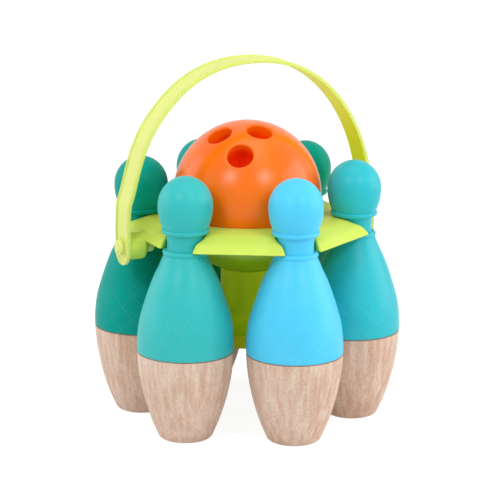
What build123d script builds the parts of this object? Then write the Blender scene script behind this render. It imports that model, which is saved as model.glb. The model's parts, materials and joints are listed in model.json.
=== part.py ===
from build123d import *
from math import acos, asin, atan2, copysign, cos, degrees, radians, sin, sqrt
import os

# Toy bowling set: six skittle pins hang by their necks in a lobed carrier, with the ball in its bowl.
# Millimetres. +Z is up, the floor is Z = 0, and +X runs along the pivot axis of the handle.

# Ring of pins
pin_count = 6
pin_pitch = 360 / pin_count
first_pin_angle = pin_pitch / 2
pin_gap = 8.5

# Outline of one pin, foot and top together, each level measured from the one before it
belly_height = 70.0
belly_radius = 34.5
foot_curve_radius = 160.0
foot_edge_round = 2.0
seam_drop = 5.5
shoulder_rise = 64.4
shoulder_inset = 0.8
shoulder_slope = 0.45
shoulder_height_shares = (0.247, 0.494, 0.710, 0.880)
shoulder_radius_shares = (0.916, 0.681, 0.424, 0.162)
ring_relief = 3.0
lower_ring_rise = 1.6
neck_low_rise = 1.9
neck_low_flare = 0.3
neck_waist_rise = 4.9
neck_waist_radius = 12.9
neck_high_rise = 7.1
neck_high_flare = 1.1
upper_ring_rise = 1.6
head_start_rise = 1.8
head_widest_rise = 16.1
head_radius = 19.5
head_low_reach = 28.0
head_turn_shares = (0.8, 0.6, 0.4, 0.2)
crown_rise = 20.6

# Walls and fittings inside a pin
pin_wall = 2.2
socket_wall = 3.0
spigot_length = 14.0
spigot_edge_round = 1.0
socket_end_gap = 0.4
joint_gap = 0.05
socket_floor = 2.4
screw_boss_radius = 5.0
screw_boss_height = 12.0
screw_radius = 2.0
screw_bore_gap = 0.2
screw_thread_gap = 0.05
screw_bite = 6.7
screw_head_radius = 4.0
screw_head_height = 2.6
screw_slot_width = 1.0
screw_slot_depth = 1.3
screw_seat_drop = 19.5
screw_well_radius = 4.8
screw_end_gap = 1.0

# Ball
ball_head_gap = 4.1
ball_rise = 14.2
ball_wall = 3.0
ball_tilt = 29.0
ball_heading = -129.4
ball_lip_height = 4.0
ball_lip_thickness = 1.4
ball_lip_gap = 0.1
finger_hole_count = 3
finger_hole_radius = 9.3
finger_hole_depth = 25.0
finger_hole_turn = 12.9
finger_wall = 1.0
finger_cup_gap = 0.18
finger_mouth_round = 0.8
finger_mouth_break = 15.0

# Carrier plate
plate_wall = 2.2
plate_neck_gap = 0.7
lip_neck_gap = 0.5
mouth_length = 11.93
lip_overhang = 0.5
crease_inset = 5.0
crease_drop = 4.6
crease_round = 12.0
knee_inset = 10.6
knee_round = 20.0
notch_gap = 0.2
notch_mouth_gap = 0.1
notch_lip_round = 8.0
lobe_corner_round = 1.4
lobe_edge_round = 1.0
lobe_edge_clearance = 0.5
bowl_gap = 0.7
bowl_wall = 3.0
rim_rise = 0.6

# Pivots of the handle
pivot_drop = 4.6
boss_radius = 9.6
boss_inset = 1.6
boss_end_round = 2.5
gusset_inset = 9.1
gusset_width = 12.0
gusset_overlap = 1.0
pivot_shank_radius = 3.6
pivot_running_gap = 0.06
pivot_side_gap = 0.3
barb_radius = 5.2
barb_length = 7.3
barb_round = 2.2
barb_slot = 3.2
barb_clearance = 0.5
barb_gap = 0.2
barb_slot_depth = 14.0
cap_radius = 5.6
cap_thickness = 3.3
cap_round = 0.8
cap_step_radius = 3.8
cap_step_height = 0.6
cap_step_round = 0.4

# Handle
hand_room = 46.3
handle_plate_gap = 12.7
handle_arch_power = 2.18
handle_arch_steps = 6
handle_width = 22.0
handle_thickness = 2.9
handle_end_drop = 2.0
handle_rim = 1.7
handle_recess = 1.2
handle_edge_round = 0.6
handle_pad_radius = 7.6
handle_pad_height = 0.7

# Stem
stem_radius = 19.3
stem_wall = 2.8
stem_foot_gap = 5.0
stem_foot_rim = 9.6
stem_foot_drop = 18.6
stem_foot_round = 1.2
stem_flare_drop = 8.0
stem_flare_round = 8.0
stem_deck_drop = 22.45
stem_deck_thickness = 3.0
stem_joint_gap = 0.2
collar_wall = 2.4
collar_length = 6.0
stem_boss_radius = 5.5
stem_screw_grip = 18.0

overrun = 5.0

# Levels and radii of a pin, from the belly up, and the ring that the pins stand in
pin_circle_radius = (belly_radius + pin_gap / 2) / sin(radians(pin_pitch / 2))
seam_height = belly_height - seam_drop
shoulder_height = belly_height + shoulder_rise
lower_ring_height = shoulder_height + lower_ring_rise
neck_low_height = lower_ring_height + neck_low_rise
neck_waist_height = neck_low_height + neck_waist_rise
neck_high_height = neck_waist_height + neck_high_rise
upper_ring_height = neck_high_height + upper_ring_rise
head_start_height = upper_ring_height + head_start_rise
head_widest_height = head_start_height + head_widest_rise
pin_height = head_widest_height + crown_rise
neck_low_radius = neck_waist_radius + neck_low_flare
neck_high_radius = neck_waist_radius + neck_high_flare
lower_ring_radius = neck_low_radius + ring_relief
upper_ring_radius = neck_high_radius + ring_relief
shoulder_radius = lower_ring_radius - shoulder_inset
shoulder_fall = belly_radius - shoulder_radius
bore_radius = neck_waist_radius - pin_wall
head_start_turn = -degrees(asin(head_widest_rise / head_low_reach))
cavity_head_turn = -degrees(acos(bore_radius / (head_radius - pin_wall)))
cavity_floor = seam_height + spigot_length + socket_end_gap + socket_floor
screw_well_depth = seam_height - screw_seat_drop
screw_grip = cavity_floor + screw_bite - screw_well_depth

# The plate holds the pins by their necks and stays inside the strap of the handle
plate_top = neck_high_height - plate_neck_gap
lip_height = neck_low_height + lip_neck_gap
crease_height = plate_top - crease_drop
notch_radius = neck_high_radius + notch_gap
notch_mouth = neck_low_radius + notch_mouth_gap
mouth_reach = pin_circle_radius + mouth_length
outline_reach = mouth_reach * cos(radians(pin_pitch / 2)) + notch_mouth * sin(radians(pin_pitch / 2))
lip_reach = outline_reach + lip_overhang
crease_reach = lip_reach - crease_inset
knee_reach = crease_reach - knee_inset

# The ball sits between the heads of the pins, in the bowl, on the stem
ball_radius = pin_circle_radius - head_radius - ball_head_gap
ball_height = plate_top + ball_rise
ball_inner_radius = ball_radius - ball_wall
ball_lip_radius = ball_inner_radius + ball_lip_thickness
finger_cup_radius = finger_hole_radius + finger_wall
finger_floor_reach = ball_radius - finger_hole_depth + finger_hole_radius
finger_cup_share = sin(radians(180 / finger_hole_count))
finger_hole_spread = degrees(
    asin((finger_cup_radius + finger_cup_gap / 2) / (finger_floor_reach * finger_cup_share))
)
bowl_inner_radius = ball_radius + bowl_gap
bowl_outer_radius = bowl_inner_radius + bowl_wall
bowl_height = ball_height + bowl_gap - joint_gap
bowl_bottom = bowl_height - bowl_outer_radius
bowl_rim_height = plate_top + rim_rise
bowl_rim_turn = degrees(asin((bowl_height - bowl_rim_height) / bowl_outer_radius))
bowl_foot = bowl_height - sqrt(bowl_outer_radius**2 - stem_radius**2)
stem_bore = stem_radius - stem_wall
stem_deck_height = bowl_bottom - stem_deck_drop
stem_deck_top = stem_deck_height + stem_deck_thickness
stem_flare_height = stem_deck_height - stem_flare_drop
stem_foot_height = stem_flare_height - stem_foot_drop
stem_foot_radius = pin_circle_radius - belly_radius - stem_foot_gap

# The handle spans the plate and leaves room for a hand over the ball
handle_half_span = outline_reach + handle_plate_gap + handle_thickness
handle_height = ball_height + ball_radius + hand_room
strap_inner = handle_half_span - handle_thickness
pivot_height = lip_height - pivot_drop
boss_start = outline_reach - boss_inset
boss_end = strap_inner - pivot_side_gap
gusset_start = outline_reach - gusset_inset
gusset_end = boss_start + gusset_overlap
cap_seat = handle_half_span - handle_recess + handle_pad_height + pivot_side_gap


def foot_radius(height):
    """Radius of the lower body, one arc that stands upright at the belly."""
    return belly_radius - foot_curve_radius + sqrt(foot_curve_radius**2 - (belly_height - height) ** 2)


def shoulder_points(wall):
    """Points between the belly and the lower ring, drawn in by a wall."""
    shares = zip(shoulder_radius_shares, shoulder_height_shares)
    return [
        (shoulder_radius + radius_share * shoulder_fall - wall, belly_height + height_share * shoulder_rise)
        for radius_share, height_share in shares
    ]


def head_point(turn, reach, wall):
    """Point of the head's outline at a turn up from its widest place, drawn in by a wall."""
    return (
        (head_radius - wall) * cos(radians(turn)),
        head_widest_height + (reach - wall) * sin(radians(turn)),
    )


def head_tangent(turn, reach, wall):
    """Upward direction of the head's outline at a turn up from its widest place."""
    return ((wall - head_radius) * sin(radians(turn)), (reach - wall) * cos(radians(turn)))


def lower_head_points(start_turn, wall):
    """Points of the head's lower half, above its start and below the widest place."""
    return [head_point(start_turn * share, head_low_reach, wall) for share in head_turn_shares]


def crown_points(wall):
    """Points of the head's upper half, above the widest place and below the top."""
    return [head_point(90 * (1 - share), crown_rise, wall) for share in head_turn_shares]


def arch_points(inset):
    """Points of the handle's arch, moved in square to it, from the right leg over the crown to the left."""
    rise = handle_height - pivot_height
    points = []
    for step in range(1, 2 * handle_arch_steps):
        turn = radians(90 * step / handle_arch_steps)
        across = copysign(abs(cos(turn)) ** (2 / handle_arch_power), cos(turn))
        up = sin(turn) ** (2 / handle_arch_power)
        outward = Vector(
            copysign(abs(across) ** (handle_arch_power - 1), across) / handle_half_span,
            up ** (handle_arch_power - 1) / rise,
        ).normalized()
        points.append(
            (handle_half_span * across - inset * outward.X, pivot_height + rise * up - inset * outward.Y)
        )
    return points


def arch_area(inset):
    """Area under the handle's arch and between its legs, moved in by an inset."""
    reach = handle_half_span - inset
    low = pivot_height - handle_end_drop - handle_width / 2 - overrun
    with BuildSketch(Plane.XZ) as area:
        with BuildLine():
            Line((-reach, low), (reach, low))
            Line((reach, low), (reach, pivot_height))
            Spline(
                (reach, pivot_height),
                *arch_points(inset),
                (-reach, pivot_height),
                tangents=((0, 1), (0, -1)),
            )
            Line((-reach, pivot_height), (-reach, low))
        make_face()
    return area.sketch


def strap_side(half_width):
    """Side view of the handle's strap: round-ended legs that run up past the crown."""
    with BuildSketch(Plane.YZ) as outline:
        with Locations((0, pivot_height - handle_end_drop)):
            Circle(half_width)
            Rectangle(2 * half_width, handle_height, align=(Align.CENTER, Align.MIN))
    return outline.sketch


def finger_axis(number):
    """Outward direction of a finger hole, counted from zero."""
    turn = radians(finger_hole_turn + number * 360 / finger_hole_count)
    across = ball_down * cos(turn) + ball_side * sin(turn)
    return ball_axis * cos(radians(finger_hole_spread)) + across * sin(radians(finger_hole_spread))


def finger_plane(number, radius):
    """Plane square to a finger hole at a distance from the ball's centre."""
    return Plane(origin=ball_centre + finger_axis(number) * radius, z_dir=finger_axis(number))


def finger_section(number):
    """Plane through the ball's centre with the axis of a finger hole upright in it."""
    across = finger_axis(number).cross(ball_axis).normalized()
    return Plane(origin=ball_centre, x_dir=across, z_dir=across.cross(finger_axis(number)))


def lobed_block(wall, depth):
    """Six-lobed dome with its notches, drawn in by a wall and reaching down past the lip by a depth.

    The upright corners are rounded where no wall is drawn off; the hollow keeps its own sharp.
    """
    bottom = lip_height - depth
    bottom_reach = lip_reach + depth * (lip_reach - crease_reach) / (crease_height - lip_height)
    with BuildPart() as block:
        with BuildSketch(Plane.XY.offset(bottom)):
            RegularPolygon(
                radius=outline_reach - wall,
                side_count=pin_count,
                major_radius=False,
                rotation=first_pin_angle,
            )
            with PolarLocations(pin_circle_radius, pin_count, start_angle=first_pin_angle):
                Circle(notch_radius + wall, mode=Mode.SUBTRACT)
                Rectangle(
                    2 * notch_radius,
                    2 * (notch_mouth + wall),
                    align=(Align.MIN, Align.CENTER),
                    mode=Mode.SUBTRACT,
                )
        extrude(amount=plate_top)
        if not wall:
            middle = (0, 0, bottom + plate_top / 2)
            corners = block.edges().filter_by(Axis.Z).sort_by_distance(middle)
            fillet(corners[2 * pin_count :], radius=lobe_corner_round)
            corners = block.edges().filter_by(Axis.Z).sort_by_distance(middle)
            fillet(corners[: 2 * pin_count], radius=notch_lip_round)
        for number in range(pin_count // 2):
            turn = radians(number * pin_pitch)
            side = Plane(origin=(0, 0, 0), x_dir=(cos(turn), sin(turn), 0), z_dir=(sin(turn), -cos(turn), 0))
            with BuildSketch(side) as profile:
                with BuildLine():
                    Polyline(
                        (bottom_reach, bottom),
                        (crease_reach, crease_height),
                        (knee_reach, plate_top),
                        (-knee_reach, plate_top),
                        (-crease_reach, crease_height),
                        (-bottom_reach, bottom),
                        close=True,
                    )
                make_face()
                fillet(profile.vertices().group_by(Axis.Y)[-1], radius=knee_round)
                fillet(profile.vertices().group_by(Axis.Y)[1], radius=crease_round)
                if wall:
                    offset(amount=-wall)
            extrude(amount=2 * lip_reach, both=True, mode=Mode.INTERSECT)
    return block


# The grip of three finger holes leans from upright towards the front, and the section's seam lies behind it
ball_centre = Vector(0, 0, ball_height)
ball_axis = Vector(0, 0, 1).rotate(Axis.Y, ball_tilt).rotate(Axis.Z, ball_heading)
ball_down = Vector(1, 0, 0).rotate(Axis.Y, ball_tilt).rotate(Axis.Z, ball_heading)
ball_side = ball_axis.cross(ball_down)
ball_section = Plane(origin=ball_centre, x_dir=ball_down * -1, z_dir=ball_side)

os.makedirs("parts", exist_ok=True)


# Six pins, each a hollow plastic top on a turned wooden foot, held by a screw
for number in range(pin_count):
    angle = radians(first_pin_angle + number * pin_pitch)
    pin_x, pin_y = pin_circle_radius * cos(angle), pin_circle_radius * sin(angle)
    pin_section = Plane(origin=(pin_x, pin_y, 0), x_dir=(1, 0, 0), z_dir=(0, -1, 0))
    pin_axis = Axis((pin_x, pin_y, 0), (0, 0, 1))

    with BuildPart() as pin_top:
        with BuildSketch(pin_section):
            with BuildLine():
                Line((0, seam_height), (foot_radius(seam_height), seam_height))
                Line((foot_radius(seam_height), seam_height), (belly_radius, belly_height))
                Spline(
                    (belly_radius, belly_height),
                    *shoulder_points(0),
                    (shoulder_radius, shoulder_height),
                    tangents=((0, 1), (-shoulder_slope, 1)),
                )
                ThreePointArc(
                    (shoulder_radius, shoulder_height),
                    (lower_ring_radius, lower_ring_height),
                    (neck_low_radius, neck_low_height),
                )
                ThreePointArc(
                    (neck_low_radius, neck_low_height),
                    (neck_waist_radius, neck_waist_height),
                    (neck_high_radius, neck_high_height),
                )
                head_start = head_point(head_start_turn, head_low_reach, 0)
                ThreePointArc(
                    (neck_high_radius, neck_high_height), (upper_ring_radius, upper_ring_height), head_start
                )
                Spline(
                    head_start,
                    *lower_head_points(head_start_turn, 0),
                    (head_radius, head_widest_height),
                    tangents=(head_tangent(head_start_turn, head_low_reach, 0), (0, 1)),
                )
                Spline(
                    (head_radius, head_widest_height),
                    *crown_points(0),
                    (0, pin_height),
                    tangents=((0, 1), (-1, 0)),
                )
                Line((0, pin_height), (0, seam_height))
            make_face()
        revolve(axis=pin_axis)
        with BuildSketch(pin_section):
            with BuildLine():
                cavity_head = head_point(cavity_head_turn, head_low_reach, pin_wall)
                Line((0, cavity_floor), (belly_radius - pin_wall, cavity_floor))
                Spline(
                    (belly_radius - pin_wall, cavity_floor),
                    *shoulder_points(pin_wall)[1:],
                    (bore_radius, shoulder_height),
                )
                Line((bore_radius, shoulder_height), cavity_head)
                Spline(
                    cavity_head,
                    *lower_head_points(cavity_head_turn, pin_wall),
                    (head_radius - pin_wall, head_widest_height),
                    tangents=(head_tangent(cavity_head_turn, head_low_reach, pin_wall), (0, 1)),
                )
                Spline(
                    (head_radius - pin_wall, head_widest_height),
                    *crown_points(pin_wall),
                    (0, pin_height - pin_wall),
                    tangents=((0, 1), (-1, 0)),
                )
                Line((0, pin_height - pin_wall), (0, cavity_floor))
            make_face()
        revolve(axis=pin_axis, mode=Mode.SUBTRACT)
        with BuildSketch(Plane.XY.offset(seam_height)):
            with Locations((pin_x, pin_y)):
                Circle(foot_radius(seam_height) - socket_wall)
        extrude(amount=spigot_length + socket_end_gap, mode=Mode.SUBTRACT)
        with BuildSketch(Plane.XY.offset(cavity_floor)):
            with Locations((pin_x, pin_y)):
                Circle(screw_boss_radius)
        extrude(amount=screw_boss_height)
        with BuildSketch(Plane.XY.offset(seam_height)):
            with Locations((pin_x, pin_y)):
                Circle(screw_radius + screw_thread_gap)
        extrude(amount=screw_well_depth + screw_grip + screw_end_gap - seam_height, mode=Mode.SUBTRACT)
    pin_top.part.label = f"pin_{number + 1}_top"
    export_step(pin_top.part, f"parts/pin_{number + 1}_top.step")

    with BuildPart() as pin_foot:
        with BuildSketch(pin_section):
            with BuildLine():
                Line((0, 0), (foot_radius(0), 0))
                ThreePointArc(
                    (foot_radius(0), 0),
                    (foot_radius(seam_height / 2), seam_height / 2),
                    (foot_radius(seam_height), seam_height),
                )
                Line((foot_radius(seam_height), seam_height), (0, seam_height))
                Line((0, seam_height), (0, 0))
            make_face()
        revolve(axis=pin_axis)
        fillet(pin_foot.edges().group_by(Axis.Z)[0], radius=foot_edge_round)
        with BuildSketch(Plane.XY.offset(seam_height)):
            with Locations((pin_x, pin_y)):
                Circle(foot_radius(seam_height) - socket_wall - joint_gap)
        extrude(amount=spigot_length)
        fillet(pin_foot.edges().group_by(Axis.Z)[-1], radius=spigot_edge_round)
        with BuildSketch(Plane.XY):
            with Locations((pin_x, pin_y)):
                Circle(screw_well_radius)
        extrude(amount=screw_well_depth, mode=Mode.SUBTRACT)
        with BuildSketch(Plane.XY.offset(screw_well_depth)):
            with Locations((pin_x, pin_y)):
                Circle(screw_radius + screw_bore_gap)
        extrude(amount=seam_height + spigot_length, mode=Mode.SUBTRACT)
    pin_foot.part.label = f"pin_{number + 1}_foot"
    export_step(pin_foot.part, f"parts/pin_{number + 1}_foot.step")

    with BuildPart() as pin_screw:
        with BuildSketch(Plane.XY.offset(screw_well_depth)):
            with Locations((pin_x, pin_y)):
                Circle(screw_radius)
        extrude(amount=screw_grip)
        with BuildSketch(Plane.XY.offset(screw_well_depth)):
            with Locations((pin_x, pin_y)):
                Circle(screw_head_radius)
        extrude(amount=-screw_head_height)
        with BuildSketch(Plane.XY.offset(screw_well_depth - screw_head_height)):
            with Locations((pin_x, pin_y)):
                Rectangle(2 * screw_radius, screw_slot_width)
                Rectangle(screw_slot_width, 2 * screw_radius)
        extrude(amount=screw_slot_depth, mode=Mode.SUBTRACT)
    pin_screw.part.label = f"pin_{number + 1}_screw"
    export_step(pin_screw.part, f"parts/pin_{number + 1}_screw.step")


# Ball, upper half with the three finger cups
with BuildPart() as ball_upper:
    with BuildSketch(ball_section):
        with BuildLine():
            CenterArc((0, 0), ball_radius, 0, 90)
            Line((0, ball_radius), (0, ball_inner_radius))
            CenterArc((0, 0), ball_inner_radius, 0, 90)
            Line((ball_inner_radius, 0), (ball_radius, 0))
        make_face()
    revolve(axis=Axis(ball_centre, ball_axis))
    with BuildSketch(ball_section):
        with BuildLine():
            Polyline(
                (0, 0),
                (ball_lip_radius + ball_lip_gap, 0),
                (ball_lip_radius + ball_lip_gap, ball_lip_height + ball_lip_gap),
                (0, ball_lip_height + ball_lip_gap),
                close=True,
            )
        make_face()
    revolve(axis=Axis(ball_centre, ball_axis), mode=Mode.SUBTRACT)
    for number in range(finger_hole_count):
        with Locations(finger_plane(number, finger_floor_reach).location):
            Sphere(finger_cup_radius)
        with BuildSketch(finger_plane(number, finger_floor_reach)):
            Circle(finger_cup_radius)
        extrude(amount=ball_radius - ball_wall / 2 - finger_wall - finger_floor_reach)
    # Each hole is turned with its mouth: the rounding meets the ball's surface at a slight edge
    flare_reach = finger_hole_radius + finger_mouth_round
    flare_distance = ball_radius - finger_mouth_round * cos(radians(finger_mouth_break))
    flare_height = sqrt(flare_distance**2 - flare_reach**2)
    flare_turn = degrees(atan2(flare_height, flare_reach)) - 180
    for number in range(finger_hole_count):
        with BuildSketch(finger_section(number)):
            with BuildLine():
                CenterArc((0, finger_floor_reach), finger_hole_radius, -90, 90)
                Line((finger_hole_radius, finger_floor_reach), (finger_hole_radius, flare_height))
                flare = CenterArc((flare_reach, flare_height), finger_mouth_round, 180, flare_turn)
                Polyline(
                    flare @ 1,
                    ((flare @ 1).X, ball_radius + overrun),
                    (0, ball_radius + overrun),
                    (0, finger_floor_reach - finger_hole_radius),
                )
            make_face()
        revolve(axis=Axis(ball_centre, finger_axis(number)), mode=Mode.SUBTRACT)
ball_upper.part.label = "ball_upper"
export_step(ball_upper.part, "parts/ball_upper.step")

# Ball, lower half with the lip that seats in the upper half
with BuildPart() as ball_lower:
    with BuildSketch(ball_section):
        with BuildLine():
            CenterArc((0, 0), ball_radius, -90, 90)
            Line((0, -ball_inner_radius), (0, -ball_radius))
            CenterArc((0, 0), ball_inner_radius, -90, 90)
            Line((ball_inner_radius, 0), (ball_radius, 0))
        make_face()
    revolve(axis=Axis(ball_centre, ball_axis))
    with BuildSketch(ball_section):
        with BuildLine():
            Polyline(
                (ball_inner_radius, -ball_lip_height),
                (ball_lip_radius, -ball_lip_height),
                (ball_lip_radius, ball_lip_height),
                (ball_inner_radius, ball_lip_height),
                close=True,
            )
        make_face()
    revolve(axis=Axis(ball_centre, ball_axis))
ball_lower.part.label = "ball_lower"
export_step(ball_lower.part, "parts/ball_lower.step")


# Carrier plate: lobed tray with turned-down edges, the ball's bowl, pivot bosses and the stem's fittings
plate_block = lobed_block(0, 0)
plate_hollow = lobed_block(plate_wall, plate_wall + overrun)
with BuildPart() as carrier_plate:
    add(plate_block)
    upper_edges = []
    for face in carrier_plate.faces():
        if face.geom_type in (GeomType.PLANE, GeomType.CYLINDER) and abs(face.normal_at().Z) < joint_gap:
            for edge in face.edges():
                box = edge.bounding_box()
                if box.min.Z > lip_height + lobe_edge_clearance and max(box.size.X, box.size.Y) > joint_gap:
                    upper_edges.append(edge)
    fillet(upper_edges, radius=lobe_edge_round)
    add(plate_hollow, mode=Mode.SUBTRACT)
    for turn in (0, 180):
        outward = Plane.YZ.rotated((0, 0, turn))
        with BuildPart(mode=Mode.PRIVATE) as gusset:
            with BuildSketch(outward.offset(gusset_start)):
                with Locations((0, lip_height)):
                    Rectangle(gusset_width, plate_top - lip_height, align=(Align.CENTER, Align.MIN))
            extrude(amount=gusset_end - gusset_start)
            add(plate_block, mode=Mode.INTERSECT)
        add(gusset)
        with BuildSketch(outward.offset(gusset_start)):
            with Locations((0, pivot_height)):
                Circle(boss_radius)
            with Locations((0, lip_height)):
                Rectangle(
                    2 * boss_radius, 2 * boss_radius, align=(Align.CENTER, Align.MAX), mode=Mode.SUBTRACT
                )
        extrude(amount=boss_end - gusset_start)
        with BuildPart(mode=Mode.PRIVATE) as boss:
            with BuildSketch(outward.offset(boss_start)):
                with Locations((0, pivot_height)):
                    Circle(boss_radius)
            extrude(amount=boss_end - boss_start)
            rings = boss.edges().filter_by(GeomType.CIRCLE).sort_by_distance((0, 0, pivot_height))
            fillet(rings[0], radius=boss_end_round)
        add(boss)
    with BuildSketch(Plane.XZ):
        with BuildLine():
            outer_arc = CenterArc((0, bowl_height), bowl_outer_radius, -90, 90 - bowl_rim_turn)
            Line(outer_arc @ 1, (0, bowl_rim_height))
            Line((0, bowl_rim_height), outer_arc @ 0)
        make_face()
    revolve(axis=Axis.Z)
    with BuildSketch(Plane.XY.offset(stem_deck_top)):
        Circle(stem_boss_radius)
    extrude(amount=bowl_bottom + bowl_wall / 2 - stem_deck_top)
    with BuildSketch(Plane.XY.offset(bowl_foot - collar_length)):
        Circle(stem_bore - joint_gap)
        Circle(stem_bore - joint_gap - collar_wall, mode=Mode.SUBTRACT)
    extrude(amount=collar_length + bowl_wall / 2)
    with Locations((0, 0, bowl_height)):
        Sphere(bowl_inner_radius, mode=Mode.SUBTRACT)
    with BuildSketch(Plane.XY.offset(stem_deck_top)):
        Circle(screw_radius + screw_thread_gap)
    extrude(amount=stem_screw_grip - stem_deck_thickness + screw_end_gap, mode=Mode.SUBTRACT)
    for turn in (0, 180):
        outward = Plane.YZ.rotated((0, 0, turn))
        with BuildSketch(outward.offset(boss_start)):
            with Locations((0, pivot_height)):
                Circle(pivot_shank_radius + pivot_running_gap)
        extrude(amount=boss_end, mode=Mode.SUBTRACT)
        with BuildSketch(outward.offset(gusset_start - overrun)):
            with Locations((0, pivot_height)):
                Circle(barb_radius + barb_clearance)
        extrude(amount=boss_start - gusset_start + overrun, mode=Mode.SUBTRACT)
carrier_plate.part.label = "carrier_plate"
export_step(carrier_plate.part, "parts/carrier_plate.step")

# Carrier stem: plain tube on a flared foot, closed by a deck that the screw pulls up to the bowl
with BuildPart() as carrier_stem:
    with BuildSketch(Plane.XZ) as section:
        with BuildLine():
            Polyline(
                (0, stem_foot_height),
                (stem_foot_radius, stem_foot_height),
                (stem_foot_radius, stem_foot_height + stem_foot_rim),
                (stem_radius, stem_flare_height),
                (stem_radius, bowl_foot + bowl_wall),
                (0, bowl_foot + bowl_wall),
                close=True,
            )
        make_face()
        fillet(section.vertices().group_by(Axis.Y)[2], radius=stem_flare_round)
        fillet(section.vertices().group_by(Axis.Y)[1], radius=stem_foot_round)
    revolve(axis=Axis.Z)
    with BuildSketch(Plane.XZ):
        with BuildLine():
            Polyline(
                (0, stem_foot_height),
                (stem_foot_radius - stem_wall, stem_foot_height),
                (stem_foot_radius - stem_wall, stem_foot_height + stem_foot_rim - stem_wall),
                (stem_bore, stem_flare_height - stem_wall),
                (stem_bore, stem_deck_height),
                (0, stem_deck_height),
                close=True,
            )
        make_face()
    revolve(axis=Axis.Z, mode=Mode.SUBTRACT)
    with BuildSketch(Plane.XY.offset(stem_deck_top)):
        Circle(stem_bore)
    extrude(amount=bowl_foot, mode=Mode.SUBTRACT)
    with BuildSketch(Plane.XY.offset(stem_deck_height)):
        Circle(screw_radius + screw_bore_gap)
    extrude(amount=stem_deck_thickness, mode=Mode.SUBTRACT)
    with Locations((0, 0, bowl_height)):
        Sphere(bowl_outer_radius + stem_joint_gap, mode=Mode.SUBTRACT)
carrier_stem.part.label = "carrier_stem"
export_step(carrier_stem.part, "parts/carrier_stem.step")

with BuildPart() as stem_screw:
    with BuildSketch(Plane.XY.offset(stem_deck_height)):
        Circle(screw_radius)
    extrude(amount=stem_screw_grip)
    with BuildSketch(Plane.XY.offset(stem_deck_height)):
        Circle(screw_head_radius)
    extrude(amount=-screw_head_height)
    with BuildSketch(Plane.XY.offset(stem_deck_height - screw_head_height)):
        Rectangle(2 * screw_radius, screw_slot_width)
        Rectangle(screw_slot_width, 2 * screw_radius)
    extrude(amount=screw_slot_depth, mode=Mode.SUBTRACT)
stem_screw.part.label = "stem_screw"
export_step(stem_screw.part, "parts/stem_screw.step")


# Handle: arched strap with raised rims along its outer face and a pad around each pivot
with BuildPart() as handle:
    extrude(arch_area(0), amount=handle_width / 2, both=True)
    extrude(arch_area(handle_thickness), amount=handle_width / 2, both=True, mode=Mode.SUBTRACT)
    extrude(strap_side(handle_width / 2), amount=handle_half_span, both=True, mode=Mode.INTERSECT)
    rims = [
        edge
        for edge in handle.edges()
        if edge.bounding_box().size.Z > joint_gap
        and (edge.geom_type == GeomType.CIRCLE or edge.bounding_box().size.Y < joint_gap)
    ]
    fillet(rims, radius=handle_edge_round)
    with BuildPart(mode=Mode.PRIVATE) as recess:
        with BuildSketch(Plane.XZ):
            with Locations((0, pivot_height)):
                Rectangle(2 * handle_height, 2 * handle_height)
        extrude(amount=handle_width / 2 - handle_rim, both=True)
        extrude(arch_area(handle_recess), amount=handle_width, both=True, mode=Mode.SUBTRACT)
        web_side = strap_side(handle_width / 2 - handle_rim)
        extrude(web_side, amount=handle_height, both=True, mode=Mode.INTERSECT)
    add(recess, mode=Mode.SUBTRACT)
    for turn in (0, 180):
        outward = Plane.YZ.rotated((0, 0, turn))
        with BuildSketch(outward.offset(handle_half_span - handle_recess)):
            with Locations((0, pivot_height)):
                Circle(handle_pad_radius)
        extrude(amount=handle_pad_height)
        with BuildSketch(outward):
            with Locations((0, pivot_height)):
                Circle(pivot_shank_radius + pivot_running_gap)
        extrude(amount=handle_half_span, mode=Mode.SUBTRACT)
handle.part.label = "handle"
export_step(handle.part, "parts/handle.step")

# Pivot pins: a stepped cap outside the handle, a shank through the boss and a split barb behind it
for pin_name, turn in (("right_pivot_pin", 0), ("left_pivot_pin", 180)):
    outward = Plane.YZ.rotated((0, 0, turn))
    barb_end = boss_start - barb_gap
    with BuildPart() as pivot_pin:
        with BuildSketch(outward.offset(barb_end)):
            with Locations((0, pivot_height)):
                Circle(barb_radius)
        extrude(amount=-barb_length)
        rings = pivot_pin.edges().filter_by(GeomType.CIRCLE).sort_by_distance((0, 0, pivot_height))
        fillet(rings[0], radius=barb_round)
        with BuildSketch(outward.offset(barb_end)):
            with Locations((0, pivot_height)):
                Circle(pivot_shank_radius)
        extrude(amount=cap_seat - barb_end)
        with BuildSketch(outward.offset(barb_end - barb_length)):
            with Locations((0, pivot_height)):
                Rectangle(barb_slot, 2 * barb_radius)
        extrude(amount=barb_slot_depth, mode=Mode.SUBTRACT)
        with BuildSketch(outward.offset(cap_seat)):
            with Locations((0, pivot_height)):
                Circle(cap_radius)
        extrude(amount=cap_thickness)
        rings = pivot_pin.edges().filter_by(GeomType.CIRCLE).sort_by_distance((0, 0, pivot_height))
        fillet(rings[-1], radius=cap_round)
        with BuildSketch(outward.offset(cap_seat + cap_thickness)):
            with Locations((0, pivot_height)):
                Circle(cap_step_radius)
        extrude(amount=cap_step_height)
        rings = pivot_pin.edges().filter_by(GeomType.CIRCLE).sort_by_distance((0, 0, pivot_height))
        fillet(rings[-1], radius=cap_step_round)
    pivot_pin.part.label = pin_name
    export_step(pivot_pin.part, f"parts/{pin_name}.step")
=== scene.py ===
"""Toy bowling set: turned feet, moulded tops, the ball, the lobed carrier and its hinged handle."""

from __future__ import annotations

import json
import logging
import math
from dataclasses import dataclass, field
from enum import Enum

import bpy
from mathutils import Matrix, Vector

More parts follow.
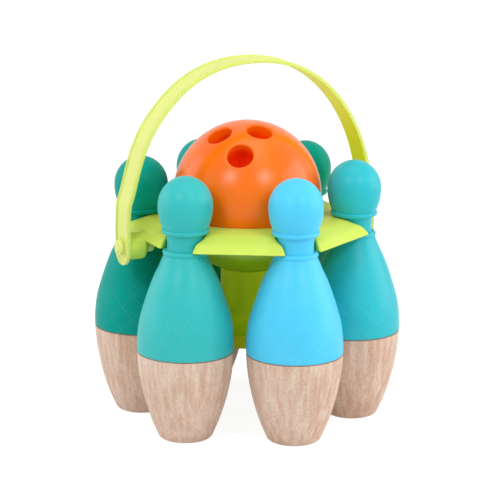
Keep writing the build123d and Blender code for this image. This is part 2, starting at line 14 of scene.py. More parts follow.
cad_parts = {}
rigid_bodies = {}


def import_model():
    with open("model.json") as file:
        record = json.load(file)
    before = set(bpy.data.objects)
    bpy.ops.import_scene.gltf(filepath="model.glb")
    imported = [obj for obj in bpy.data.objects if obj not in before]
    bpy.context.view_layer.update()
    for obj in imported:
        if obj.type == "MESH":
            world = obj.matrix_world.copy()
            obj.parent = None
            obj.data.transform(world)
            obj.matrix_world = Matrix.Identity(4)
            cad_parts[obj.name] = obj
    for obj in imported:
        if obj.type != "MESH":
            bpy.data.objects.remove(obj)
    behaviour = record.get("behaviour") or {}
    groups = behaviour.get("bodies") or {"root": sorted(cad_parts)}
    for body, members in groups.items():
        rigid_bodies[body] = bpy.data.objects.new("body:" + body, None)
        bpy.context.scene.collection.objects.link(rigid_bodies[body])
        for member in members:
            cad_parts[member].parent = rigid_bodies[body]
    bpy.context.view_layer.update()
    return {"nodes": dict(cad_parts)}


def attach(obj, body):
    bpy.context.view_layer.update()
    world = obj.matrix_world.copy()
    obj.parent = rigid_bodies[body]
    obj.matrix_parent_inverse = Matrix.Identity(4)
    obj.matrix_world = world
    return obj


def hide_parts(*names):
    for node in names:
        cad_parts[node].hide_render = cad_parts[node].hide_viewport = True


LOG = logging.getLogger("bowling_set")
MM = 0.001
Colour = tuple[float, float, float, float]
Point = tuple[float, float]
Span = tuple[float, float]
Piece = bpy.types.Object
Material = bpy.types.Material
Socket = bpy.types.NodeSocket
Nodes = dict[str, Piece]
Inputs = dict[str, tuple[str, object]]
Feeds = dict[str | int, object]


def screen_colour(red: int, green: int, blue: int) -> Colour:
    """Turns a colour as a screen shows it into the linear colour that a shader takes.

    Args:
        red: Red, 0 to 255.
        green: Green, 0 to 255.
        blue: Blue, 0 to 255.

    Returns:
        The linear colour with an alpha of 1.
    """
    linear = []
    for value in (red / 255, green / 255, blue / 255):
        linear.append(value / 12.92 if value <= 0.04045 else ((value + 0.055) / 1.055) ** 2.4)
    return (*linear, 1.0)


@dataclass
class Section:
    """Half section of a turned piece: radius from the axis and height, in millimetres."""

    points: list[Point] = field(default_factory=list)

    def to(self, *points: Point) -> Section:
        """Runs straight to each point in turn.

        Args:
            points: The points, as radius and height.

        Returns:
            The section itself.
        """
        self.points.extend(points)
        return self

    def arc(self, via: Point, end: Point, steps: int) -> None:
        """Runs along the circle through the last point, a point on the way and an end.

        Args:
            via: A point on the way.
            end: The arc's end.
            steps: The number of straight runs.
        """
        (ax, ay), (bx, by), (cx, cy) = self.points[-1], via, end
        scale = 2 * (ax * (by - cy) + bx * (cy - ay) + cx * (ay - by))
        a2, b2, c2 = ax * ax + ay * ay, bx * bx + by * by, cx * cx + cy * cy
        ux = (a2 * (by - cy) + b2 * (cy - ay) + c2 * (ay - by)) / scale
        uy = (a2 * (cx - bx) + b2 * (ax - cx) + c2 * (bx - ax)) / scale
        radius = math.hypot(ax - ux, ay - uy)
        first = math.atan2(ay - uy, ax - ux)
        middle = (math.atan2(by - uy, bx - ux) - first) % math.tau
        last = (math.atan2(cy - uy, cx - ux) - first) % math.tau
        if middle > last:
            last -= math.tau
        for step in range(1, steps + 1):
            angle = first + last * step / steps
            self.points.append((ux + radius * math.cos(angle), uy + radius * math.sin(angle)))

    def ellipse(
        self, centre: float, radius: float, reach: float, first: float, last: float, steps: int
    ) -> Section:
        """Runs along an ellipse centred on the axis.

        Args:
            centre: Height of the ellipse's centre.
            radius: Its half width.
            reach: Its half height.
            first: Angle of the start, in degrees up from the widest place.
            last: Angle of the end.
            steps: The number of straight runs.

        Returns:
            The section itself.
        """
        for step in range(steps + 1):
            angle = math.radians(first + (last - first) * step / steps)
            self.points.append((radius * math.cos(angle), centre + reach * math.sin(angle)))
        return self

    def curve(self, through: list[Point], before: Point, after: Point, steps: int) -> None:
        """Runs along a smooth curve from the last point through others.

        Args:
            through: The points after the last one.
            before: A point that gives the direction at the start.
            after: A point that gives the direction at the end.
            steps: The number of straight runs between neighbours.
        """
        knots = [before, self.points[-1], *through, after]
        for index in range(1, len(knots) - 2):
            p0, p1, p2, p3 = (Vector(knots[index + shift]) for shift in (-1, 0, 1, 2))
            for step in range(1, steps + 1):
                t = step / steps
                point = 0.5 * (
                    2 * p1
                    + (p2 - p0) * t
                    + (2 * p0 - 5 * p1 + 4 * p2 - p3) * t**2
                    + (3 * p1 - p0 - 3 * p2 + p3) * t**3
                )
                self.points.append((point.x, point.y))


class Bench:
    """Modelling moves that every sub-assembly shares."""

    @staticmethod
    def only(piece: Piece) -> None:
        """Selects one piece and makes it the active one.

        Args:
            piece: The piece.
        """
        bpy.ops.object.select_all(action="DESELECT")
        piece.select_set(True)
        bpy.context.view_layer.objects.active = piece

    @staticmethod
    def turn(name: str, section: Section, steps: int) -> Piece:
        """Turns a half section about the vertical axis, as on a lathe.

        Args:
            name: The piece's name.
            section: The half section, from one pole to the other or closed in itself.
            steps: The number of facets round the piece.

        Returns:
            The turned piece, on the axis through the origin.
        """
        bpy.ops.object.select_all(action="DESELECT")
        bpy.ops.mesh.primitive_plane_add(size=MM, location=(0, 0, 0))
        piece = bpy.context.active_object
        piece.name = piece.data.name = name
        bpy.ops.object.mode_set(mode="EDIT")
        bpy.ops.mesh.select_all(action="SELECT")
        bpy.ops.mesh.merge(type="CENTER")
        radius, height = section.points[0]
        bpy.ops.transform.translate(value=(radius * MM, 0, height * MM))
        for (r0, z0), (r1, z1) in zip(section.points, section.points[1:]):
            move = ((r1 - r0) * MM, 0, (z1 - z0) * MM)
            bpy.ops.mesh.extrude_region_move(TRANSFORM_OT_translate={"value": move})
        bpy.ops.mesh.select_all(action="SELECT")
        bpy.ops.mesh.spin(steps=steps, angle=math.tau, center=(0, 0, 0), axis=(0, 0, 1))
        bpy.ops.mesh.select_all(action="SELECT")
        bpy.ops.mesh.remove_doubles(threshold=0.002 * MM)
        bpy.ops.mesh.normals_make_consistent(inside=False)
        bpy.ops.object.mode_set(mode="OBJECT")
        return piece

    @staticmethod
    def settle(piece: Piece, matrix: Matrix) -> None:
        """Moves a piece and puts the move into its mesh.

        Args:
            piece: The piece, at the origin.
            matrix: Where it goes.
        """
        Bench.only(piece)
        piece.matrix_world = matrix
        bpy.ops.object.transform_apply(location=True, rotation=True, scale=True)

    @staticmethod
    def copy(piece: Piece, name: str, move: Vector | None = None) -> Piece:
        """Copies a piece with its own mesh.

        Args:
            piece: The piece to copy.
            name: The copy's name.
            move: The way from the origin to the copy's place.

        Returns:
            The copy.
        """
        Bench.only(piece)
        bpy.ops.object.duplicate(linked=False)
        twin = bpy.context.active_object
        twin.name = twin.data.name = name
        if move is not None:
            Bench.settle(twin, Matrix.Translation(move))
        return twin

    @staticmethod
    def carry_over(node: Piece, name: str) -> Piece:
        """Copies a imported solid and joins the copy's loose triangles.

        Args:
            node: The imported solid.
            name: The copy's name.

        Returns:
            The copy, free of any parent and at the origin.
        """
        twin = Bench.copy(node, name)
        bpy.ops.object.parent_clear(type="CLEAR_KEEP_TRANSFORM")
        bpy.ops.object.transform_apply(location=True, rotation=True, scale=True)
        bpy.ops.object.mode_set(mode="EDIT")
        bpy.ops.mesh.select_all(action="SELECT")
        bpy.ops.mesh.remove_doubles(threshold=0.001 * MM)
        bpy.ops.object.mode_set(mode="OBJECT")
        return twin

    @staticmethod
    def even_out(piece: Piece, angle: float) -> None:
        """Shades a carried-over piece smoothly, with the larger faces leading over the slivers.

        Args:
            piece: The piece.
            angle: The angle in degrees past which an edge stays crisp.
        """
        Bench.smooth(piece, angle)
        change = piece.modifiers.new("even", "WEIGHTED_NORMAL")
        change.keep_sharp = True
        bpy.ops.object.modifier_apply(modifier=change.name)

    @staticmethod
    def cut(piece: Piece, cutters: list[Piece]) -> None:
        """Cuts shapes out of a piece and clears the cutters away.

        Args:
            piece: The piece.
            cutters: The shapes to cut out.
        """
        for cutter in cutters:
            Bench.only(piece)
            change = piece.modifiers.new("cut", "BOOLEAN")
            change.operation = "DIFFERENCE"
            change.solver = "EXACT"
            change.object = cutter
            bpy.ops.object.modifier_apply(modifier=change.name)
            bpy.data.objects.remove(cutter)

    @staticmethod
    def smooth(piece: Piece, angle: float) -> None:
        """Shades a piece smoothly, except over edges that turn by more than an angle.

        Args:
            piece: The piece.
            angle: The angle in degrees.
        """
        Bench.only(piece)
        bpy.ops.object.shade_smooth_by_angle(angle=math.radians(angle))

    @staticmethod
    def dress(piece: Piece, material: Material, slot: str, body: str, *nodes: str) -> None:
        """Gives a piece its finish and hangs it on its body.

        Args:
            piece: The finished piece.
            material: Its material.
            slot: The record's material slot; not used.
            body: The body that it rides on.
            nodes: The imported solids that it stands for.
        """
        piece.data.materials.clear()
        piece.data.materials.append(material)
        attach(piece, body)
        if nodes:
            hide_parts(*nodes)
        LOG.info("%s rides on %s and stands for %s", piece.name, body, ", ".join(nodes) or "no solid")

    @staticmethod
    def recolour(node: Piece, material: Material) -> None:
        """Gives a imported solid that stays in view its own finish.

        Args:
            node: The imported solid.
            material: Its material.
        """
        for slot in node.material_slots:
            slot.material = material
        LOG.info("%s keeps its solid and takes %s", node.name, material.name)


class Graph:
    """Adds and joins the nodes of one node tree."""

    def __init__(self, tree: bpy.types.NodeTree) -> None:
        """Keeps the tree.

        Args:
            tree: The tree that the nodes go into.
        """
        self.tree = tree

    def put(self, kind: str, sockets: Feeds | None = None, **settings: object) -> bpy.types.Node:
        """Adds a node.

        Args:
            kind: The node's type name, without ShaderNode in front.
            sockets: A value or a source socket for each input, by name or number.
            settings: The node's own settings.

        Returns:
            The node.
        """
        node = self.tree.nodes.new(kind if kind.startswith("NodeGroup") else "ShaderNode" + kind)
        for name, value in settings.items():
            setattr(node, name, value)
        for name, value in (sockets or {}).items():
            self.feed(value, node.inputs[name])
        return node

    def feed(self, value: object, socket: Socket) -> None:
        """Sets an input to a value or links it to a source.

        Args:
            value: The value, or the source socket.
            socket: The input.
        """
        if isinstance(value, Socket):
            self.tree.links.new(value, socket)
        else:
            socket.default_value = value

    def maths(self, operation: str, *operands: object) -> Socket:
        """Works out a number from others.

        Args:
            operation: The Math node's operation.
            operands: Values or source sockets.

        Returns:
            The result's socket.
        """
        return self.put("Math", dict(enumerate(operands)), operation=operation).outputs[0]

    def ramp(self, value: object, low: float, high: float, start: float, end: float) -> Socket:
        """Maps a number smoothly from one range to another.

        Args:
            value: The number.
            low: Where the change starts.
            high: Where it ends.
            start: The result up to low.
            end: The result from high.

        Returns:
            The result's socket.
        """
        sockets = {"Value": value, "From Min": low, "From Max": high, "To Min": start, "To Max": end}
        return self.put("MapRange", sockets, interpolation_type="SMOOTHSTEP").outputs["Result"]

    def blend(self, share: object, first: object, second: object) -> Socket:
        """Mixes two colours.

        Args:
            share: The second colour's share, 0 to 1.
            first: The first colour.
            second: The second colour.

        Returns:
            The mixed colour's socket.
        """
        return self.put("Mix", {0: share, 6: first, 7: second}, data_type="RGBA").outputs[2]

    def axes(self, place: object) -> bpy.types.bpy_prop_collection:
        """Splits a place into its X, Y and Z.

        Args:
            place: The place.

        Returns:
            The three sockets, by name.
        """
        return self.put("SeparateXYZ", {0: place}).outputs

    def stretch(self, place: object, scale: tuple[float, float, float]) -> Socket:
        """Scales a place along each axis, which packs or draws out a pattern on it.

        Args:
            place: The place.
            scale: The factor along X, Y and Z.

        Returns:
            The scaled place.
        """
        return self.put("Mapping", {"Vector": place, "Scale": scale}, vector_type="POINT").outputs[0]

    def noise(self, place: object, scale: object, detail: float, rough: float = 0.5) -> Socket:
        """Adds a soft random pattern.

        Args:
            place: The place that it is drawn on.
            scale: Its fineness, per metre.
            detail: The number of finer layers in it.
            rough: The weight of the finer layers.

        Returns:
            The pattern's value.
        """
        sockets = {"Vector": place, "Scale": scale, "Detail": detail, "Roughness": rough}
        return self.put("TexNoise", sockets).outputs[0]


class Patterns:
    """Shader node groups that more than one finish uses, each built once."""

    # How fine the timber's bands and grain are, per metre, and their share of that along the wood.
    BANDS = (260.0, 0.06)
    GRAIN = (1900.0, 0.05)
    # Each kind of pore: width and length in millimetres, and how bare of it the wood is.
    PORES = ((0.85, 3.6, 0.20), (0.7, 2.8, 0.28))
    # How fine its clouds and its patches of pores are, per metre.
    CLOUDS = 30.0
    PATCHES = 170.0

    def __init__(self) -> None:
        """Builds the groups."""
        self.skin = self._skin()
        self.lattice = self._lattice()
        self.timber = self._timber()

    @staticmethod
    def _group(name: str, inputs: Inputs, outputs: tuple[str, ...]) -> tuple[Graph, object, object]:
        """Starts a node group with its sockets.

        Args:
            name: The group's name.
            inputs: Each input's type and default value.
            outputs: The names of the outputs, all plain numbers.

        Returns:
            The graph, the group's inputs as sockets by name, and its output node.
        """
        tree = bpy.data.node_groups.new(name, "ShaderNodeTree")
        for label, (kind, value) in inputs.items():
            socket = tree.interface.new_socket(label, in_out="INPUT", socket_type=kind)
            if value is not None:
                socket.default_value = value
        for label in outputs:
            tree.interface.new_socket(label, in_out="OUTPUT", socket_type="NodeSocketFloat")
        graph = Graph(tree)
        return graph, graph.put("NodeGroupInput").outputs, graph.put("NodeGroupOutput")

    def _skin(self) -> bpy.types.NodeTree:
        """Builds the fine skin of a moulded plastic piece: satin grain over slow unevenness.

        Returns:
            The group, which puts out Height and Tone.
        """
        inputs = {
            "Vector": ("NodeSocketVector", None),
            "Grain": ("NodeSocketFloat", 1800.0),
            "Unevenness": ("NodeSocketFloat", 45.0),
        }
        graph, given, out = self._group("moulded_skin", inputs, ("Height", "Tone"))
        fine = graph.noise(given["Vector"], given["Grain"], 2.0)
        slow = graph.noise(given["Vector"], given["Unevenness"], 1.0)
        graph.feed(graph.maths("MULTIPLY_ADD", fine, 0.35, slow), out.inputs["Height"])
        graph.feed(slow, out.inputs["Tone"])
        return graph.tree

    def _lattice(self) -> bpy.types.NodeTree:
        """Builds thin raised lines that cross in diamonds round an upright axis.

        Returns:
            The group, which puts out Mask.
        """
        inputs = {
            "Vector": ("NodeSocketVector", None),
            "Count": ("NodeSocketFloat", 13.0),
            "Cell Height": ("NodeSocketFloat", 16.8 * MM),
            "Line": ("NodeSocketFloat", 0.03),
            "Fade Start": ("NodeSocketFloat", -4.0 * MM),
            "Fade End": ("NodeSocketFloat", 12.0 * MM),
        }
        graph, given, out = self._group("diamond_lattice", inputs, ("Mask",))
        axes = graph.axes(given["Vector"])
        turn = graph.maths("ARCTAN2", axes["Y"], axes["X"])
        across = graph.maths("MULTIPLY", turn, graph.maths("DIVIDE", given["Count"], math.tau))
        up = graph.maths("DIVIDE", axes["Z"], given["Cell Height"])
        lines = []
        for operation in ("ADD", "SUBTRACT"):
            place = graph.maths("ADD", graph.maths(operation, across, up), 0.5)
            away = graph.maths("ABSOLUTE", graph.maths("SUBTRACT", graph.maths("FRACT", place), 0.5))
            share = graph.maths("DIVIDE", away, given["Line"])
            lines.append(graph.ramp(share, 0.2, 1.0, 1.0, 0.0))
        crossing = graph.maths("MAXIMUM", lines[0], lines[1])
        span = graph.maths("SUBTRACT", given["Fade End"], given["Fade Start"])
        height = graph.maths("DIVIDE", graph.maths("SUBTRACT", axes["Z"], given["Fade Start"]), span)
        fading = graph.ramp(height, 0.0, 1.0, 1.0, 0.0)
        graph.feed(graph.maths("MULTIPLY", crossing, fading), out.inputs["Mask"])
        return graph.tree

    def _timber(self) -> bpy.types.NodeTree:
        """Builds the figure, pores and grain of a pale turned hardwood whose grain runs upright.

        Returns:
            The group, which puts out Figure, Pores and Height.
        """
        inputs = {"Vector": ("NodeSocketVector", None), "Pore Width": ("NodeSocketFloat", 0.34)}
        graph, given, out = self._group("upright_timber", inputs, ("Figure", "Pores", "Height"))
        place = given["Vector"]
        (band, band_run), (fibre, fibre_run) = self.BANDS, self.GRAIN
        bands = graph.noise(graph.stretch(place, (1.0, 1.0, band_run)), band, 4.0, 0.6)
        cloud = graph.noise(place, self.CLOUDS, 1.0)
        figure = graph.maths("MULTIPLY_ADD", cloud, 0.3, graph.maths("MULTIPLY", bands, 0.7))
        where = graph.noise(place, self.PATCHES, 1.0)
        pores = []
        for width, length, bare in self.PORES:
            packed = graph.stretch(place, (1 / (width * MM), 1 / (width * MM), 1 / (length * MM)))
            cell = graph.put("TexVoronoi", {"Vector": packed, "Scale": 1.0, "Randomness": 1.0})
            share = graph.maths("DIVIDE", cell.outputs["Distance"], given["Pore Width"])
            spot = graph.ramp(share, 0.45, 1.0, 1.0, 0.0)
            pores.append(graph.maths("MULTIPLY", spot, graph.ramp(where, bare, bare + 0.12, 0.0, 1.0)))
        marks = graph.maths("MAXIMUM", pores[0], graph.maths("MULTIPLY", pores[1], 0.6))
        grain = graph.noise(graph.stretch(place, (1.0, 1.0, fibre_run)), fibre, 2.0)
        height = graph.maths("SUBTRACT", graph.maths("MULTIPLY", grain, 0.4), marks)
        graph.feed(figure, out.inputs["Figure"])
        graph.feed(marks, out.inputs["Pores"])
        graph.feed(height, out.inputs["Height"])
        return graph.tree


class Surface:
    """One material's graph, with object coordinates, a Principled shader and the shared groups."""

    def __init__(
        self, name: str, roughness: float, sheen: float, centre: Vector | None = None, turn: float = 0.0
    ) -> None:
        """Starts the material.

        Args:
            name: The material's name.
            roughness: Its plain roughness.
            sheen: The level of its gloss.
            centre: The point that its patterns are centred on, in metres.
            turn: The turn of its patterns about the upright, in degrees.
        """
        self.material = bpy.data.materials.new(name)
        self.material.use_nodes = True
        self.graph = Graph(self.material.node_tree)
        self.shader = self.material.node_tree.nodes["Principled BSDF"]
        self.shader.inputs["Roughness"].default_value = roughness
        self.shader.inputs["Specular IOR Level"].default_value = sheen
        coordinates = self.graph.put("TexCoord").outputs
        self.facing = coordinates["Normal"]
        swing = (0, 0, math.radians(turn))
        sockets = {"Vector": coordinates["Object"], "Location": centre or Vector(), "Rotation": swing}
        self.place = self.graph.put("Mapping", sockets, vector_type="TEXTURE").outputs[0]

    def group(self, tree: bpy.types.NodeTree, **values: object) -> bpy.types.bpy_prop_collection:
        """Places a shared group in the material.

        Args:
            tree: The group.
            values: Its own values, by input name.

        Returns:
            The group node's outputs.
        """
        node = self.graph.put("Group", node_tree=tree)
        self.graph.feed(self.place, node.inputs["Vector"])
        for name, value in values.items():
            self.graph.feed(value, node.inputs[name])
        return node.outputs

    def colour(self, source: object) -> None:
        """Sets or links the base colour.

        Args:
            source: A colour or a source socket.
        """
        self.graph.feed(source, self.shader.inputs["Base Color"])

    def two_tone(self, tone: object, colour: Colour, deep: Colour, most: float = 1.0) -> Socket:
        """Mixes a moulded colour with its deeper tone, patch by patch.

        Args:
            tone: The skin's slow pattern.
            colour: The colour.
            deep: Its deeper tone.
            most: The deeper tone's largest share.

        Returns:
            The mixed colour's socket.
        """
        return self.graph.blend(self.graph.ramp(tone, 0.35, 0.65, 0.0, most), colour, deep)

    def relief(self, *layers: tuple[object, float]) -> None:
        """Stacks heights into the surface's relief.

        Args:
            layers: Each height's socket and the distance that a height of 1 stands for, in metres.
        """
        normal: Socket | None = None
        for height, distance in layers:
            bump = self.graph.put("Bump", {"Height": height, "Distance": distance, "Strength": 1.0})
            if normal is not None:
                self.graph.feed(normal, bump.inputs["Normal"])
            normal = bump.outputs[0]
        self.graph.feed(normal, self.shader.inputs["Normal"])


class PinColour(Enum):
    """The moulded colours of the pin tops: the colour, its deeper tone and the level of its sheen."""

    TURQUOISE = (screen_colour(54, 190, 190), screen_colour(44, 184, 184), 0.24)
    SEA_GREEN = (screen_colour(4, 158, 138), screen_colour(0, 150, 130), 0.07)
    DEEP_TEAL = (screen_colour(6, 158, 148), screen_colour(0, 150, 140), 0.07)
    PINE_TEAL = (screen_colour(4, 158, 146), screen_colour(0, 150, 138), 0.07)
    AQUA = (screen_colour(44, 190, 202), screen_colour(32, 184, 196), 0.24)
    SKY = (screen_colour(84, 208, 248), screen_colour(70, 202, 246), 0.24)


@dataclass(frozen=True)
class PinPlastic:
    """Satin moulded plastic of a pin top, with its diamond lattice, a painted highlight on the lattice
    lines and the mould parting line.
    """

    colour: PinColour
    roughness: float = 0.38
    lattice_row: float = 92.8 * MM
    lattice_line: float = 0.036
    # Share of the painted highlight on the lattice's raised lines.
    lattice_highlight_share: float = 0.15
    lattice_relief: float = 0.15 * MM
    # How far the painted highlight on the lattice lines goes towards white.
    lattice_highlight_whiteness: float = 0.18
    deep_share: float = 0.35
    grain: float = 1100.0
    skin_relief: float = 0.07 * MM
    parting_width: float = 0.12 * MM
    parting_fade: float = 2.5
    parting_relief: float = 0.05 * MM

    def build(self, patterns: Patterns, centre: Vector, turn: float, parting: float) -> Material:
        """Builds the material for one pin.

        Args:
            patterns: The shared groups.
            centre: The pin's place on the floor.
            turn: The direction of one column of diamonds, in degrees.
            parting: The direction of the mould's parting plane, in degrees.

        Returns:
            The material.
        """
        base, deep, sheen = self.colour.value
        origin = centre + Vector((0, 0, self.lattice_row))
        surface = Surface(f"pin_plastic_{self.colour.name.lower()}", self.roughness, sheen, origin, turn)
        graph = surface.graph
        skin = surface.group(patterns.skin, Grain=self.grain)
        lattice = surface.group(patterns.lattice, Line=self.lattice_line)["Mask"]
        swing = (0, 0, math.radians(turn - parting))
        plane = graph.put("Mapping", {"Vector": surface.place, "Rotation": swing}, vector_type="POINT")
        across = graph.maths("ABSOLUTE", graph.axes(plane.outputs[0])["Y"])
        line = graph.ramp(across, self.parting_width, self.parting_fade * self.parting_width, 1.0, 0.0)
        tone = surface.two_tone(skin["Tone"], base, deep, self.deep_share)
        # Painted highlight: a paler copy of the colour laid on the raised lattice lines.
        pale = tuple((1 - self.lattice_highlight_whiteness) * part + self.lattice_highlight_whiteness for part in base[:3]) + (1.0,)
        surface.colour(graph.blend(graph.maths("MULTIPLY", lattice, self.lattice_highlight_share), tone, pale))
        surface.relief(
            (skin["Height"], self.skin_relief), (lattice, self.lattice_relief), (line, self.parting_relief)
        )
        return surface.material


@dataclass(frozen=True)
class TurnedWood:
    """Pale pinkish hardwood, turned, sanded and clear lacquered."""

    pale: Colour = screen_colour(232, 209, 191)
    rosy: Colour = screen_colour(209, 170, 146)
    pore: Colour = screen_colour(172, 116, 84)
    # Colour of the painted shadow under the seam with the plastic top.
    seam_shadow_colour: Colour = screen_colour(104, 74, 58)
    rosiness: Span = (0.34, 0.68)
    pore_share: float = 0.5
    pore_roughness: float = 0.2
    seam: float = 64.5 * MM
    # Painted shadow under the seam: how far below the seam it starts and where it is full, then its
    # largest share.
    seam_shadow_span: Span = (1.0 * MM, 0.4 * MM)
    seam_shadow_share: float = 0.75
    plank_step: tuple[float, float, float] = (0.31, 0.17, 0.0)
    roughness: float = 0.48
    sheen: float = 0.22
    relief: float = 0.05 * MM

    def build(self, patterns: Patterns, number: int, centre: Vector, turn: float) -> Material:
        """Builds the wood of one foot, cut from its own part of the plank, with a painted shadow along the
        seam under the plastic top.

        Args:
            patterns: The shared groups.
            number: The pin's number.
            centre: The foot's place on the floor.
            turn: The turn of its figure, in degrees.

        Returns:
            The material.
        """
        plank = centre + Vector(self.plank_step) * number
        surface = Surface(f"turned_wood_{number}", self.roughness, self.sheen, plank, turn)
        graph = surface.graph
        timber = surface.group(patterns.timber)
        figure = graph.blend(graph.ramp(timber["Figure"], *self.rosiness, 0.0, 1.0), self.pale, self.rosy)
        wood = graph.blend(graph.maths("MULTIPLY", timber["Pores"], self.pore_share), figure, self.pore)
        # Painted shadow: the wood darkens in a thin band just below the seam.
        start, full = self.seam_shadow_span
        height = graph.axes(surface.place)["Z"]
        edge = graph.ramp(height, self.seam - start, self.seam - full, 0.0, self.seam_shadow_share)
        surface.colour(graph.blend(edge, wood, self.seam_shadow_colour))
        rough = graph.maths("MULTIPLY_ADD", timber["Pores"], self.pore_roughness, self.roughness)
        graph.feed(rough, surface.shader.inputs["Roughness"])
        surface.relief((timber["Height"], self.relief))
        return surface.material


@dataclass(frozen=True)
class BallPlastic:
    """Satin-gloss plastic of the ball."""

    colour: Colour = screen_colour(255, 117, 0)
    deep: Colour = screen_colour(253, 109, 0)
    # Painted shade inside the finger holes: its colour, the distance from the centre where it ends, and
    # the depth over which it fades in.
    hole_shade_colour: Colour = screen_colour(253, 78, 0)
    hole_shade_reach: float = 50.5 * MM
    hole_shade_fade: float = 6 * MM
    grain: float = 1100.0
    unevenness: float = 30.0
    roughness: float = 0.27
    sheen: float = 0.36
    relief: float = 0.03 * MM

    def build(self, patterns: Patterns, centre: Vector) -> Material:
        """Builds the material, with painted shade that deepens the colour inside the finger holes.

        Args:
            patterns: The shared groups.
            centre: The ball's centre.

        Returns:
            The material.
        """
        surface = Surface("ball_plastic", self.roughness, self.sheen, centre)
        graph = surface.graph
        skin = surface.group(patterns.skin, Grain=self.grain, Unevenness=self.unevenness)
        tone = surface.two_tone(skin["Tone"], self.colour, self.deep)
        reach = graph.put("VectorMath", {0: surface.place}, operation="LENGTH").outputs["Value"]
        # Painted shade: the colour turns deeper red with depth inside the finger holes.
        inside = graph.ramp(reach, self.hole_shade_reach - self.hole_shade_fade, self.hole_shade_reach, 1.0, 0.0)
        surface.colour(graph.blend(inside, tone, self.hole_shade_colour))
        surface.relief((skin["Height"], self.relief))
        return surface.material


@dataclass(frozen=True)
class CarrierPlastic:
    """Satin moulded plastic of the carrier, a clear lime, with painted shade that makes it deeper below
    the plate.
    """

    name: str = "carrier_plastic"
    colour: Colour = screen_colour(214, 235, 102)
    deep: Colour = screen_colour(210, 232, 94)
    # Painted shade below the plate: its colour, the height under which it lies, and its fade.
    under_plate_shade: Colour = screen_colour(196, 222, 30)
    under_plate_shade_height: float = 128 * MM
    under_plate_shade_fade: float = 6 * MM
    grain: float = 1500.0
    unevenness: float = 35.0
    roughness: float = 0.40
    sheen: float = 0.14
    relief: float = 0.015 * MM

    def build(self, patterns: Patterns) -> Material:
        """Builds the material.

        Args:
            patterns: The shared groups.

        Returns:
            The material.
        """
        surface = Surface(self.name, self.roughness, self.sheen)
        graph = surface.graph
        skin = surface.group(patterns.skin, Grain=self.grain, Unevenness=self.unevenness)
        tone = surface.two_tone(skin["Tone"], self.colour, self.deep)
        height = graph.axes(surface.place)["Z"]
        # Painted shade: the colour deepens below the plate.
        shaded_below = graph.ramp(height, self.under_plate_shade_height - self.under_plate_shade_fade, self.under_plate_shade_height, 1.0, 0.0)
        surface.colour(graph.blend(shaded_below, tone, self.under_plate_shade))
        surface.relief((skin["Height"], self.relief))
        return surface.material


@dataclass(frozen=True)
class HandlePlastic:
    """Flexible, slightly milky plastic of the strap: paler in its web, with painted light on its inside, a
    deeper, brighter lime that stands for light shining through the strap.
    """

    rim: Colour = screen_colour(221, 234, 122)
    web: Colour = screen_colour(227, 235, 137)
    # Painted light: the colour of the inward-facing side, standing for light shining through the strap.
    inner_through_light: Colour = screen_colour(238, 255, 30)
    roughness: float = 0.42
    sheen: float = 0.12
    half_web: float = 9.1 * MM
    web_fade: float = 0.4 * MM
    pivot: Vector = field(default_factory=lambda: Vector((0, 0, 133.8 * MM)))
    ring_pitch: float = 1.6 * MM
    ring_relief: float = 0.04 * MM
    ring_reach: Span = (9.0 * MM, 10.4 * MM)
    inward: Span = (-0.7, -0.2)

    def build(self) -> Material:
        """Builds the material, with fine turned rings round the pivots.

        Returns:
            The material.
        """
        surface = Surface("handle_plastic", self.roughness, self.sheen, self.pivot)
        graph = surface.graph
        axes = graph.axes(surface.place)
        across = graph.maths("ABSOLUTE", axes["Y"])
        thin = graph.ramp(across, self.half_web - self.web_fade, self.half_web + self.web_fade, 1.0, 0.0)
        squares = [graph.maths("MULTIPLY", axes[name], axes[name]) for name in "YZ"]
        reach = graph.maths("SQRT", graph.maths("ADD", *squares))
        wave = graph.maths("SINE", graph.maths("MULTIPLY", reach, math.tau / self.ring_pitch))
        near = graph.ramp(reach, *self.ring_reach, 1.0, 0.0)
        outward = graph.put("VectorMath", {0: surface.place}, operation="NORMALIZE").outputs["Vector"]
        facing = graph.put("VectorMath", {0: outward, 1: surface.facing}, operation="DOT_PRODUCT")
        # Painted light on the faces that look in towards the arch's centre.
        inside = graph.ramp(facing.outputs["Value"], *self.inward, 1.0, 0.0)
        surface.colour(graph.blend(inside, graph.blend(thin, self.rim, self.web), self.inner_through_light))
        surface.relief((graph.maths("MULTIPLY", wave, near), self.ring_relief))
        return surface.material


@dataclass(frozen=True)
class ScrewSteel:
    """Bright zinc-plated steel of the screws."""

    colour: Colour = screen_colour(196, 198, 202)
    dull: Colour = screen_colour(150, 152, 158)
    dullness: Span = (0.3, 0.7)
    grain: float = 2600.0
    unevenness: float = 240.0
    roughness: float = 0.32
    sheen: float = 0.22
    relief: float = 0.01 * MM

    def build(self, patterns: Patterns) -> Material:
        """Builds the material.

        Args:
            patterns: The shared groups.

        Returns:
            The material.
        """
        surface = Surface("screw_steel", self.roughness, self.sheen)
        surface.shader.inputs["Metallic"].default_value = 1.0
        skin = surface.group(patterns.skin, Grain=self.grain, Unevenness=self.unevenness)
        share = surface.graph.ramp(skin["Tone"], *self.dullness, 0.0, 1.0)
        surface.colour(surface.graph.blend(share, self.colour, self.dull))
        surface.relief((skin["Height"], self.relief))
        return surface.material


